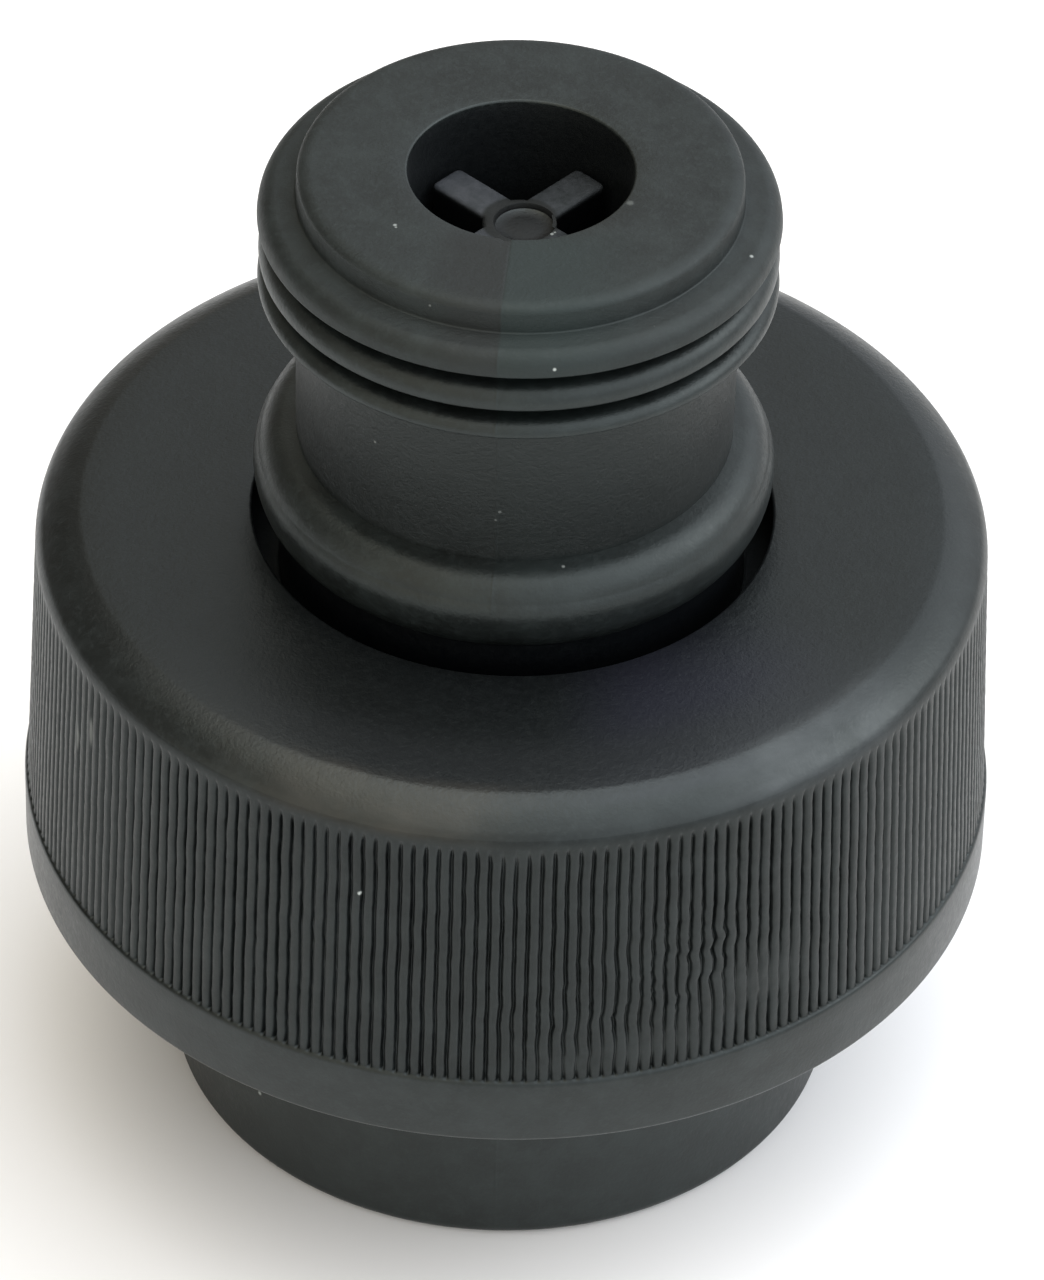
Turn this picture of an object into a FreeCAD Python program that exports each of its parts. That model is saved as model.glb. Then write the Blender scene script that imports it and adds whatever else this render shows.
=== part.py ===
import FreeCAD, Part
import os
import Sketcher

# Screw-on quick-connect cap with a spring-loaded shut-off valve.
# Frame: origin at the centre of the lower tube's bottom rim, +Z up along the
# common axis of every piece, -Y is the front. Millimetres.
#
# Pieces, from the outside in:
#   screw_collar   ribbed screw cap with the neck thread, turns freely
#   nipple_body    push-in nipple, clamping flange and valve seat, one moulding
#   insert_tube    lower tube pressed onto the nipple's spigot
#   neck_gasket    flat ring that seals the flange on the container's neck
#   tube_o_ring    seals the tube on the spigot
#   valve_plunger  four guide fins, hub, poppet disc and guide stem
#   poppet_seal    elastomer ring between the poppet disc and the seat
#   return_spring  compression spring that closes the valve
#   spring_cage    perforated seat for the spring, guides the stem

doc = FreeCAD.newDocument("valved_cap")

# ------------------------------------------------------------------ dimensions
DIMS = [
    # heights of the stack
    ("total_height", 68.5), ("collar_top", 42.45), ("collar_foot", 17.2),
    # nipple head: raised lead-in disc, thick rim, two thin rings
    ("socket_radius", 6.81), ("socket_floor", 64.8),
    ("disc_radius", 13.45), ("disc_foot_radius", 13.5), ("disc_foot", 66.66),
    ("rim_radius", 15.78), ("rim_crown", 66.56), ("rim_low_radius", 15.82), ("rim_foot", 65.05),
    ("groove_radius", 14.3),
    ("ring_two_top", 63.96), ("ring_two_radius", 15.73), ("ring_two_foot", 62.53),
    ("ring_three_top", 61.51), ("ring_three_radius", 15.79), ("ring_three_edge", 60.50),
    ("neck_top", 60.35), ("neck_radius", 13.4),
    # rounded bead below the neck, stem through the collar, clamping flange
    ("bead_top", 49.4), ("bead_radius", 16.05), ("bead_foot", 46.0), ("stem_top", 44.4),
    ("stem_radius", 14.4),
    ("flange_top", 39.7), ("flange_radius", 25.6), ("flange_foot", 37.7),
    ("relief_radius", 18.0), ("relief_floor", 38.0),
    ("spigot_radius", 19.2), ("spigot_foot", 30.0), ("spigot_bore_radius", 16.8),
    ("spigot_ceiling", 37.0), ("seal_groove_top", 36.0), ("seal_groove_foot", 34.2),
    ("seal_groove_radius", 18.0),
    # inside of the nipple: outer shell, inner guide tube, seat
    ("chamber_radius", 12.2), ("chamber_step", 46.5), ("shell_bore_foot", 47.1),
    ("shell_bore_radius", 11.4), ("pocket_ceiling", 65.8),
    ("guide_tube_radius", 9.0), ("seat_height", 50.0), ("guide_bore_radius", 6.5),
    # edge rounds of the nipple
    ("disc_round", 0.5), ("rim_round", 1.15), ("ring_two_round", 1.15), ("ring_three_round", 0.75), ("ring_edge_round", 0.12),
    ("bead_top_round", 1.15),
    ("bead_foot_round", 2.3), ("flange_round", 0.4), ("mouth_round", 0.25), ("neck_round", 0.3),
    # collar
    ("collar_hole_radius", 16.1), ("collar_shoulder_radius", 29.5), ("rib_foot_radius", 30.2),
    ("rib_foot", 22.0), ("band_radius", 30.5), ("thread_crest_radius", 26.2),
    ("thread_lead_radius", 27.4), ("thread_lead", 18.5), ("thread_top", 36.0),
    ("collar_bore_radius", 25.9), ("collar_bore_foot", 36.4), ("plate_foot", 40.0),
    ("collar_shoulder_round", 2.7), ("band_round", 0.35), ("collar_hole_round", 0.25),
    # lower tube
    ("tube_radius", 21.1), ("tube_bore_radius", 19.3), ("tube_top", 37.4),
    ("tube_foot_round", 0.8), ("tube_mouth_round", 0.5),
    # seals
    ("gasket_bore_radius", 22.0), ("gasket_radius", 25.3), ("gasket_top", 37.65),
    ("gasket_foot", 36.1), ("gasket_round", 0.3),
    ("o_ring_mean_radius", 18.66), ("o_ring_section_radius", 0.6), ("o_ring_height", 35.1),
    # plunger
    ("guide_top", 64.6), ("fin_foot", 51.4), ("fin_reach", 6.3), ("fin_width", 2.46),
    ("guide_turn", 47.0), ("hub_radius", 2.25), ("dimple_radius", 1.86), ("dimple_depth", 0.45),
    ("dimple_x", 0.3), ("dimple_y", 0.1),
    ("plug_radius", 6.25), ("seal_neck_radius", 6.1), ("seal_neck_top", 49.95), ("disc_top", 48.3),
    ("poppet_radius", 9.9), ("poppet_foot", 46.2), ("boss_radius", 4.6), ("boss_foot", 44.7),
    ("pin_radius", 2.0), ("pin_foot", 26.0), ("pin_round", 0.5),
    ("poppet_seal_bore", 6.2), ("poppet_seal_radius", 9.4), ("poppet_seal_foot", 48.35),
    ("poppet_seal_top", 49.9), ("poppet_seal_round", 0.4),
    # spring
    ("spring_mean_radius", 5.9), ("spring_wire_radius", 0.45), ("spring_pitch", 2.9),
    ("spring_length", 14.6), ("spring_start", 31.05),
    # cage
    ("cage_bore_radius", 2.25), ("cage_lip_radius", 19.0), ("cage_foot", 28.3),
    ("cage_lip_top", 29.9), ("cage_skirt_radius", 16.72), ("cage_skirt_top", 33.3),
    ("cage_skirt_bore", 15.2), ("cage_floor", 30.55), ("port_radius", 2.7), ("port_circle", 11.6),
    ("cage_collar_radius", 5.1), ("cage_collar_top", 32.4),
]
P = dict(DIMS)
sheet = doc.addObject("Spreadsheet::Sheet", "Dims")
for row, (alias, number) in enumerate(DIMS, start=1):
    sheet.set("A%d" % row, alias)
    sheet.set("B%d" % row, str(number))
    sheet.setAlias("B%d" % row, alias)
doc.recompute()


def value(text):
    """Number for a sum such as 'rim_radius - ring_round'."""
    total, sign = 0.0, 1.0
    for word in text.split():
        if word == "+":
            sign = 1.0
        elif word == "-":
            sign = -1.0
        else:
            total += sign * (P[word] if word in P else float(word))
    return total


def bound(text):
    """The same sum as an expression on the sheet."""
    return " ".join("Dims." + word if word in P else word for word in text.split())


def origin_item(body, role):
    for item in body.Origin.OriginFeatures:
        if item.Role == role:
            return item
    raise RuntimeError("no " + role)


def new_body(label):
    body = doc.addObject("PartDesign::Body", label)
    body.Label = label
    return body


def outline(body, name, corners, plane="XZ_Plane"):
    """Closed polygon sketch; each corner is a pair of sums for radius and height."""
    sk = body.newObject("Sketcher::SketchObject", name)
    sk.AttachmentSupport = [(origin_item(body, plane), "")]
    sk.MapMode = "FlatFace"
    pts = [FreeCAD.Vector(value(a), value(b), 0) for a, b in corners]
    n = len(pts)
    for i in range(n):
        sk.addGeometry(Part.LineSegment(pts[i], pts[(i + 1) % n]), False)
    for i in range(n):
        sk.addConstraint(Sketcher.Constraint("Coincident", i, 2, (i + 1) % n, 1))
    for i, (a, b) in enumerate(corners):
        for kind, axis, text in (("DistanceX", "x", a), ("DistanceY", "z", b)):
            if abs(value(text)) < 1e-9:
                sk.addConstraint(Sketcher.Constraint("PointOnObject", i, 1, -2 if axis == "x" else -1))
                continue
            k = sk.addConstraint(Sketcher.Constraint(kind, -1, 1, i, 1, value(text)))
            sk.renameConstraint(k, "%s%d" % (axis, i))
            sk.setExpression("Constraints.%s%d" % (axis, i), bound(text))
    doc.recompute()
    return sk


def revolve(body, name, corners):
    sk = outline(body, name + "_profile", corners)
    rev = body.newObject("PartDesign::Revolution", name)
    rev.Profile = sk
    rev.ReferenceAxis = (sk, ["V_Axis"])
    rev.Angle = 360.0
    sk.Visibility = False
    doc.recompute()
    return rev


def ring_edges(shape, radius, height, tol=0.02):
    found = []
    for i, e in enumerate(shape.Edges, start=1):
        c = e.Curve
        if isinstance(c, Part.Circle) and abs(c.Radius - radius) < tol and abs(c.Center.z - height) < tol:
            found.append("Edge%d" % i)
    return found


def round_edges(body, feature, name, places, size):
    """Fillet on the circular edges at the given (radius, height) sums."""
    names = []
    for r, z in places:
        hit = ring_edges(feature.Shape, value(r), value(z))
        if not hit:
            raise RuntimeError("%s: no edge at %s, %s" % (name, r, z))
        names += hit
    fl = body.newObject("PartDesign::Fillet", name)
    fl.Base = (feature, names)
    fl.Radius = value(size)
    fl.setExpression("Radius", bound(size))
    doc.recompute()
    if "Invalid" in fl.State or "Error" in fl.State or fl.Shape.isNull():
        raise RuntimeError("%s failed" % name)
    return fl


# ----------------------------------------------------------------- nipple_body
nipple = new_body("nipple_body")
f = revolve(nipple, "nipple_turned", [
    ("socket_radius", "total_height"),
    ("disc_radius", "total_height"),
    ("disc_foot_radius", "disc_foot"),
    ("rim_radius", "rim_crown"),
    ("rim_low_radius", "rim_foot"),
    ("groove_radius", "rim_foot"),
    ("groove_radius", "ring_two_top"),
    ("ring_two_radius", "ring_two_top"),
    ("ring_two_radius", "ring_two_foot"),
    ("groove_radius", "ring_two_foot"),
    ("groove_radius", "ring_three_top"),
    ("ring_three_radius", "ring_three_top"),
    ("ring_three_radius", "ring_three_edge"),
    ("neck_radius", "neck_top"),
    ("neck_radius", "bead_top"),
    ("bead_radius", "bead_top"),
    ("bead_radius", "bead_foot"),
    ("stem_radius", "stem_top"),
    ("stem_radius", "relief_floor"),
    ("relief_radius", "relief_floor"),
    ("relief_radius", "flange_top"),
    ("flange_radius", "flange_top"),
    ("flange_radius", "flange_foot"),
    ("spigot_radius", "flange_foot"),
    ("spigot_radius", "seal_groove_top"),
    ("seal_groove_radius", "seal_groove_top"),
    ("seal_groove_radius", "seal_groove_foot"),
    ("spigot_radius", "seal_groove_foot"),
    ("spigot_radius", "spigot_foot"),
    ("spigot_bore_radius", "spigot_foot"),
    ("spigot_bore_radius", "spigot_ceiling"),
    ("chamber_radius", "spigot_ceiling"),
    ("chamber_radius", "chamber_step"),
    ("shell_bore_radius", "shell_bore_foot"),
    ("shell_bore_radius", "pocket_ceiling"),
    ("guide_tube_radius", "pocket_ceiling"),
    ("guide_tube_radius", "seat_height"),
    ("guide_bore_radius", "seat_height"),
    ("guide_bore_radius", "socket_floor"),
    ("socket_radius", "socket_floor"),
])
f = round_edges(nipple, f, "bead_foot_fillet", [("bead_radius", "bead_foot")], "bead_foot_round")
f = round_edges(nipple, f, "bead_top_fillet", [("bead_radius", "bead_top")], "bead_top_round")
f = round_edges(nipple, f, "rim_fillet", [("rim_radius", "rim_crown")], "rim_round")
f = round_edges(nipple, f, "disc_fillet", [("disc_radius", "total_height")], "disc_round")
f = round_edges(nipple, f, "mouth_fillet", [("socket_radius", "total_height")], "mouth_round")
f = round_edges(nipple, f, "ring_two_fillet", [("ring_two_radius", "ring_two_top")], "ring_two_round")
f = round_edges(nipple, f, "ring_three_fillet", [("ring_three_radius", "ring_three_top")], "ring_three_round")
f = round_edges(nipple, f, "ring_edge_fillet", [("ring_three_radius", "ring_three_edge")], "ring_edge_round")
f = round_edges(nipple, f, "flange_fillets", [("flange_radius", "flange_top"), ("flange_radius", "flange_foot")], "flange_round")
f = round_edges(nipple, f, "neck_fillet", [("neck_radius", "bead_top")], "neck_round")

# ---------------------------------------------------------------- screw_collar
# The rib crests are the outer wall here; the neck thread is its plain crest wall.
collar = new_body("screw_collar")
f = revolve(collar, "collar_turned", [
    ("collar_hole_radius", "collar_top"),
    ("collar_shoulder_radius", "collar_top"),
    ("rib_foot_radius", "rib_foot"),
    ("band_radius", "rib_foot"),
    ("band_radius", "collar_foot"),
    ("thread_lead_radius", "collar_foot"),
    ("thread_crest_radius", "thread_lead"),
    ("thread_crest_radius", "thread_top"),
    ("collar_bore_radius", "collar_bore_foot"),
    ("collar_bore_radius", "plate_foot"),
    ("collar_hole_radius", "plate_foot"),
])
f = round_edges(collar, f, "shoulder_fillet", [("collar_shoulder_radius", "collar_top")], "collar_shoulder_round")
f = round_edges(collar, f, "band_fillets", [("band_radius", "collar_foot")], "band_round")
f = round_edges(collar, f, "hole_fillet", [("collar_hole_radius", "collar_top")], "collar_hole_round")

# ----------------------------------------------------------------- insert_tube
tube = new_body("insert_tube")
f = revolve(tube, "tube_turned", [
    ("tube_bore_radius", "0"),
    ("tube_radius", "0"),
    ("tube_radius", "tube_top"),
    ("tube_bore_radius", "tube_top"),
])
f = round_edges(tube, f, "foot_fillet", [("tube_radius", "0")], "tube_foot_round")
f = round_edges(tube, f, "tube_mouth_fillet", [("tube_bore_radius", "0")], "tube_mouth_round")

# ----------------------------------------------------------------- neck_gasket
gasket = new_body("neck_gasket")
f = revolve(gasket, "gasket_turned", [
    ("gasket_bore_radius", "gasket_foot"),
    ("gasket_radius", "gasket_foot"),
    ("gasket_radius", "gasket_top"),
    ("gasket_bore_radius", "gasket_top"),
])
f = round_edges(gasket, f, "gasket_fillets", [("gasket_bore_radius", "gasket_foot"), ("gasket_radius", "gasket_foot")], "gasket_round")

# ----------------------------------------------------------------- tube_o_ring
oring = doc.addObject("Part::Torus", "tube_o_ring")
oring.Label = "tube_o_ring"
oring.setExpression("Radius1", "Dims.o_ring_mean_radius")
oring.setExpression("Radius2", "Dims.o_ring_section_radius")
oring.setExpression("Placement.Base.z", "Dims.o_ring_height")
doc.recompute()

# --------------------------------------------------------------- valve_plunger
plunger = new_body("valve_plunger")
f = revolve(plunger, "plunger_turned", [
    ("0", "pin_foot"),
    ("pin_radius", "pin_foot"),
    ("pin_radius", "boss_foot"),
    ("boss_radius", "boss_foot"),
    ("boss_radius", "poppet_foot"),
    ("poppet_radius", "poppet_foot"),
    ("poppet_radius", "disc_top"),
    ("seal_neck_radius", "disc_top"),
    ("seal_neck_radius", "seal_neck_top"),
    ("plug_radius", "seal_neck_top"),
    ("plug_radius", "fin_foot"),
    ("hub_radius", "fin_foot"),
    ("hub_radius", "guide_top"),
    ("0", "guide_top"),
])
f = round_edges(plunger, f, "pin_fillet", [("pin_radius", "pin_foot")], "pin_round")

fin_sketch = plunger.newObject("Sketcher::SketchObject", "fin_outline")
fin_sketch.AttachmentSupport = [(origin_item(plunger, "XY_Plane"), "")]
fin_sketch.MapMode = "FlatFace"
fin_sketch.AttachmentOffset = FreeCAD.Placement(
    FreeCAD.Vector(0, 0, P["fin_foot"]), FreeCAD.Rotation(FreeCAD.Vector(0, 0, 1), P["guide_turn"]))
fin_sketch.setExpression("AttachmentOffset.Base.z", "Dims.fin_foot")
fin_sketch.setExpression("AttachmentOffset.Rotation.Angle", "Dims.guide_turn")
half = P["fin_width"] / 2.0
reach = P["fin_reach"]
corner = [(0.0, -half), (reach, -half), (reach, half), (0.0, half)]
for i in range(4):
    a, b = corner[i], corner[(i + 1) % 4]
    fin_sketch.addGeometry(Part.LineSegment(FreeCAD.Vector(a[0], a[1], 0), FreeCAD.Vector(b[0], b[1], 0)), False)
for i in range(4):
    fin_sketch.addConstraint(Sketcher.Constraint("Coincident", i, 2, (i + 1) % 4, 1))
fin_sketch.addConstraint(Sketcher.Constraint("Horizontal", 0))
fin_sketch.addConstraint(Sketcher.Constraint("Horizontal", 2))
fin_sketch.addConstraint(Sketcher.Constraint("Vertical", 1))
fin_sketch.addConstraint(Sketcher.Constraint("PointOnObject", 0, 1, -2))
fin_sketch.addConstraint(Sketcher.Constraint("PointOnObject", 2, 2, -2))
k = fin_sketch.addConstraint(Sketcher.Constraint("DistanceX", -1, 1, 0, 2, reach))
fin_sketch.renameConstraint(k, "reach")
fin_sketch.setExpression("Constraints.reach", "Dims.fin_reach")
k = fin_sketch.addConstraint(Sketcher.Constraint("DistanceY", 1, 1, 1, 2, P["fin_width"]))
fin_sketch.renameConstraint(k, "width")
fin_sketch.setExpression("Constraints.width", "Dims.fin_width")
k = fin_sketch.addConstraint(Sketcher.Constraint("DistanceY", 0, 2, -1, 1, half))
fin_sketch.renameConstraint(k, "half")
fin_sketch.setExpression("Constraints.half", "Dims.fin_width / 2")
doc.recompute()
fin = plunger.newObject("PartDesign::Pad", "fin_pad")
fin.Profile = fin_sketch
fin.Length = P["guide_top"] - P["fin_foot"]
fin.setExpression("Length", "Dims.guide_top - Dims.fin_foot")
doc.recompute()
fins = plunger.newObject("PartDesign::PolarPattern", "fins")
fins.Originals = [fin]
fins.Axis = (origin_item(plunger, "Z_Axis"), [""])
fins.Angle = 360.0
fins.Occurrences = 4
plunger.Tip = fins
doc.recompute()

dimple_sketch = plunger.newObject("Sketcher::SketchObject", "dimple_outline")
dimple_sketch.AttachmentSupport = [(origin_item(plunger, "XY_Plane"), "")]
dimple_sketch.MapMode = "FlatFace"
dimple_sketch.AttachmentOffset = FreeCAD.Placement(
    FreeCAD.Vector(P["dimple_x"], -P["dimple_y"], P["guide_top"]), FreeCAD.Rotation())
dimple_sketch.setExpression("AttachmentOffset.Base.x", "Dims.dimple_x")
dimple_sketch.setExpression("AttachmentOffset.Base.y", "-Dims.dimple_y")
dimple_sketch.setExpression("AttachmentOffset.Base.z", "Dims.guide_top")
dimple_sketch.addGeometry(Part.Circle(FreeCAD.Vector(0, 0, 0), FreeCAD.Vector(0, 0, 1), P["dimple_radius"]), False)
dimple_sketch.addConstraint(Sketcher.Constraint("Coincident", 0, 3, -1, 1))
k = dimple_sketch.addConstraint(Sketcher.Constraint("Radius", 0, P["dimple_radius"]))
dimple_sketch.renameConstraint(k, "radius")
dimple_sketch.setExpression("Constraints.radius", "Dims.dimple_radius")
doc.recompute()
before = fins.Shape.Volume
dimple = plunger.newObject("PartDesign::Pocket", "dimple")
dimple.Profile = dimple_sketch
dimple.Length = P["dimple_depth"]
dimple.setExpression("Length", "Dims.dimple_depth")
doc.recompute()
if not dimple.Shape.Volume < before - 1.0:
    raise RuntimeError("the dimple cuts nothing")

# ----------------------------------------------------------------- poppet_seal
seal = new_body("poppet_seal")
f = revolve(seal, "seal_turned", [
    ("poppet_seal_bore", "poppet_seal_foot"),
    ("poppet_seal_radius", "poppet_seal_foot"),
    ("poppet_seal_radius", "poppet_seal_top"),
    ("poppet_seal_bore", "poppet_seal_top"),
])
f = round_edges(seal, f, "seal_fillet", [("poppet_seal_radius", "poppet_seal_top")], "poppet_seal_round")

# --------------------------------------------------------------- return_spring
helix = doc.addObject("Part::Helix", "spring_path")
helix.setExpression("Pitch", "Dims.spring_pitch")
helix.setExpression("Height", "Dims.spring_length")
helix.setExpression("Radius", "Dims.spring_mean_radius")
wire = doc.addObject("Part::Circle", "spring_wire")
wire.setExpression("Radius", "Dims.spring_wire_radius")
wire.Placement = FreeCAD.Placement(
    FreeCAD.Vector(P["spring_mean_radius"], 0, 0), FreeCAD.Rotation(FreeCAD.Vector(1, 0, 0), 90))
wire.setExpression("Placement.Base.x", "Dims.spring_mean_radius")
doc.recompute()
spring = doc.addObject("Part::Sweep", "return_spring")
spring.Label = "return_spring"
spring.Sections = [wire]
spring.Spine = (helix, ["Edge%d" % (i + 1) for i in range(len(helix.Shape.Edges))])
spring.Solid = True
spring.Frenet = True
spring.setExpression("Placement.Base.z", "Dims.spring_start")
doc.recompute()

# ----------------------------------------------------------------- spring_cage
cage = new_body("spring_cage")
f = revolve(cage, "cage_turned", [
    ("cage_bore_radius", "cage_foot"),
    ("cage_lip_radius", "cage_foot"),
    ("cage_lip_radius", "cage_lip_top"),
    ("cage_skirt_radius", "cage_lip_top"),
    ("cage_skirt_radius", "cage_skirt_top"),
    ("cage_skirt_bore", "cage_skirt_top"),
    ("cage_skirt_bore", "cage_floor"),
    ("cage_collar_radius", "cage_floor"),
    ("cage_collar_radius", "cage_collar_top"),
    ("cage_bore_radius", "cage_collar_top"),
])
port_sketch = cage.newObject("Sketcher::SketchObject", "port_outline")
port_sketch.AttachmentSupport = [(origin_item(cage, "XY_Plane"), "")]
port_sketch.MapMode = "FlatFace"
port_sketch.AttachmentOffset = FreeCAD.Placement(FreeCAD.Vector(0, 0, P["cage_floor"]), FreeCAD.Rotation())
port_sketch.setExpression("AttachmentOffset.Base.z", "Dims.cage_floor")
port_sketch.addGeometry(Part.Circle(FreeCAD.Vector(P["port_circle"], 0, 0), FreeCAD.Vector(0, 0, 1), P["port_radius"]), False)
port_sketch.addConstraint(Sketcher.Constraint("PointOnObject", 0, 3, -1))
k = port_sketch.addConstraint(Sketcher.Constraint("DistanceX", -1, 1, 0, 3, P["port_circle"]))
port_sketch.renameConstraint(k, "circle")
port_sketch.setExpression("Constraints.circle", "Dims.port_circle")
k = port_sketch.addConstraint(Sketcher.Constraint("Radius", 0, P["port_radius"]))
port_sketch.renameConstraint(k, "radius")
port_sketch.setExpression("Constraints.radius", "Dims.port_radius")
doc.recompute()
before = f.Shape.Volume
port = cage.newObject("PartDesign::Pocket", "port")
port.Profile = port_sketch
port.Length = P["cage_floor"] - P["cage_foot"] + 1.0
port.setExpression("Length", "Dims.cage_floor - Dims.cage_foot + 1")
doc.recompute()
if not port.Shape.Volume < before - 10.0:
    raise RuntimeError("the port cuts nothing")
ports = cage.newObject("PartDesign::PolarPattern", "ports")
ports.Originals = [port]
ports.Axis = (origin_item(cage, "Z_Axis"), [""])
ports.Angle = 360.0
ports.Occurrences = 8
cage.Tip = ports
doc.recompute()

# ---------------------------------------------------------------------- checks
doc.recompute()
for obj in doc.Objects:
    if "Invalid" in obj.State or "Error" in obj.State:
        raise RuntimeError("%s is %s" % (obj.Label, obj.State))
pieces = [collar, nipple, tube, gasket, oring, plunger, seal, spring, cage]
for obj in pieces:
    shape = obj.Shape
    if shape.isNull() or not shape.isValid() or shape.Volume <= 0:
        raise RuntimeError("%s has a bad shape" % obj.Label)
    if len(shape.Solids) != 1:
        raise RuntimeError("%s has %d solids" % (obj.Label, len(shape.Solids)))

os.makedirs("parts", exist_ok=True)
for obj in pieces:
    box = obj.Shape.BoundBox
    obj.Shape.exportStep(os.path.join("parts", obj.Label + ".step"))
    print("%-15s volume %9.1f mm3  z %.2f to %.2f  radius %.2f" % (obj.Label, obj.Shape.Volume, box.ZMin, box.ZMax, box.XMax))
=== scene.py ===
import bpy
import bmesh
import math
import random
from mathutils import Vector, Matrix, noise


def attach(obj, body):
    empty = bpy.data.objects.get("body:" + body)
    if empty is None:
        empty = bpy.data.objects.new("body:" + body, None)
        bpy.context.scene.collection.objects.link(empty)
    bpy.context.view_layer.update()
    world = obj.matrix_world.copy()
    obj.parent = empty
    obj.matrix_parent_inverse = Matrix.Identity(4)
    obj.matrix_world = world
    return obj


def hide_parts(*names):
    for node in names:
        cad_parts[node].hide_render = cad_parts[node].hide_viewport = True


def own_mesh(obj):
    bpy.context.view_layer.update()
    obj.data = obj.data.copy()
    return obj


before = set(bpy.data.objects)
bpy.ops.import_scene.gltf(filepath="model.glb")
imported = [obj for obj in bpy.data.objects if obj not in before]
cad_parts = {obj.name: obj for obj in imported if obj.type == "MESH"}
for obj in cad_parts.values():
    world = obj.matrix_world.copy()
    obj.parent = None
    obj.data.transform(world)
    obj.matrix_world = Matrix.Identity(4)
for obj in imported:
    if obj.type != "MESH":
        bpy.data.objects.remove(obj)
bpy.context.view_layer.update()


scene = bpy.context.scene
MM = 0.001
TAU = 2.0 * math.pi

# ------------------------------------------------------------------ geometry


def rounded(corners, seg=6):
    """Closed profile loop from (r, z, fillet radius) corners, in mm. Returns (r, z) points."""
    out = []
    n = len(corners)
    for i in range(n):
        p0 = Vector(corners[i - 1][:2])
        p1 = Vector(corners[i][:2])
        p2 = Vector(corners[(i + 1) % n][:2])
        rad = corners[i][2] if len(corners[i]) > 2 else 0.0
        if rad <= 0.0:
            out.append((p1.x, p1.y))
            continue
        a = (p0 - p1).normalized()
        b = (p2 - p1).normalized()
        cosang = max(-1.0, min(1.0, a.dot(b)))
        ang = math.acos(cosang)
        if ang > math.pi - 0.02:
            out.append((p1.x, p1.y))
            continue
        t = rad / math.tan(ang / 2.0)
        t = min(t, 0.49 * (p0 - p1).length if len(corners[i - 1]) > 2 and corners[i - 1][2] > 0 else 0.98 * (p0 - p1).length)
        t = min(t, 0.49 * (p2 - p1).length if len(corners[(i + 1) % n]) > 2 and corners[(i + 1) % n][2] > 0 else 0.98 * (p2 - p1).length)
        rr = t * math.tan(ang / 2.0)
        bis = (a + b).normalized()
        c = p1 + bis * (rr / math.sin(ang / 2.0))
        s = p1 + a * t - c
        e = p1 + b * t - c
        a0 = math.atan2(s.y, s.x)
        a1 = math.atan2(e.y, e.x)
        d = a1 - a0
        while d > math.pi:
            d -= TAU
        while d < -math.pi:
            d += TAU
        k = corners[i][3] if len(corners[i]) > 3 else seg
        for j in range(k + 1):
            q = a0 + d * j / k
            out.append((c.x + rr * math.cos(q), c.y + rr * math.sin(q)))
    return out


def split_long(loop, limit):
    """Adds points on long straight runs of a closed loop so that faces stay well shaped."""
    out = []
    n = len(loop)
    for i in range(n):
        p, q = loop[i], loop[(i + 1) % n]
        out.append(p)
        length = math.hypot(q[0] - p[0], q[1] - p[1])
        k = int(length / limit)
        for j in range(1, k + 1):
            f = j / (k + 1.0)
            out.append((p[0] + (q[0] - p[0]) * f, p[1] + (q[1] - p[1]) * f))
    return out


def finish_mesh(name, verts, faces, body, weighted=True, sharp=None):
    me = bpy.data.meshes.new(name)
    me.from_pydata([(x * MM, y * MM, z * MM) for x, y, z in verts], [], faces)
    me.validate()
    bm = bmesh.new()
    bm.from_mesh(me)
    bmesh.ops.recalc_face_normals(bm, faces=bm.faces)
    bm.to_mesh(me)
    bm.free()
    me.shade_smooth()
    if sharp is not None:
        me.set_sharp_from_angle(angle=math.radians(sharp))
    ob = bpy.data.objects.new(name, me)
    scene.collection.objects.link(ob)
    if weighted:
        mod = ob.modifiers.new("even_normals", "WEIGHTED_NORMAL")
        mod.weight = 60
        mod.keep_sharp = True
    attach(ob, body)
    return ob


def lathe(name, loop, body, angles, shape=None, sharp=None):
    """Closed surface of revolution. shape(r, z, a, i) may move a point and returns (r, z, a)."""
    verts, faces = [], []
    m = len(loop)
    n = len(angles)
    for a in angles:
        for i, (r, z) in enumerate(loop):
            rr, zz, aa = (r, z, a) if shape is None else shape(r, z, a, i)
            verts.append((rr * math.sin(aa), -rr * math.cos(aa), zz))
    for j in range(n):
        k = (j + 1) % n
        for i in range(m):
            l = (i + 1) % m
            faces.append((j * m + i, j * m + l, k * m + l, k * m + i))
    return finish_mesh(name, verts, faces, body, sharp=sharp)


def even_angles(n):
    return [TAU * i / n for i in range(n)]


def seam_angles(n, seams=(0.0, math.pi), near=(0.003, 0.006, 0.010, 0.016)):
    """Even angles plus a fine cluster round each mould seam."""
    base = [a for a in even_angles(n)]
    keep = []
    for a in base:
        d = min(abs((a - s + math.pi) % TAU - math.pi) for s in seams)
        if d > 0.02:
            keep.append(a)
    for s in seams:
        keep.append(s % TAU)
        for q in near:
            keep.append((s + q) % TAU)
            keep.append((s - q) % TAU)
    return sorted(set(round(a, 7) for a in keep))


def seam_offset(a, r, seams=(0.0, math.pi), width=0.07):
    d = min(abs((a - s + math.pi) % TAU - math.pi) for s in seams) * r
    return math.exp(-(d / width) ** 2)


# ------------------------------------------------------------------- collar
RIBS = 240
PER_RIB = 12
RIB_STEPS = (0.0, 0.05, 0.10, 0.155, 0.22, 0.33, 0.5, 0.67, 0.78, 0.845, 0.90, 0.95)
HOLE, TOP = 16.1, 42.45
SHOULDER_R, RIB_FOOT_R, RIB_FOOT, BAND_R, FOOT = 29.5, 30.25, 22.0, 30.45, 17.2
random.seed(7)
rib_gain = [1.0 + random.uniform(-0.14, 0.14) for _ in range(RIBS)]


def smooth(x):
    x = max(0.0, min(1.0, x))
    return x * x * (3.0 - 2.0 * x)


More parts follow.
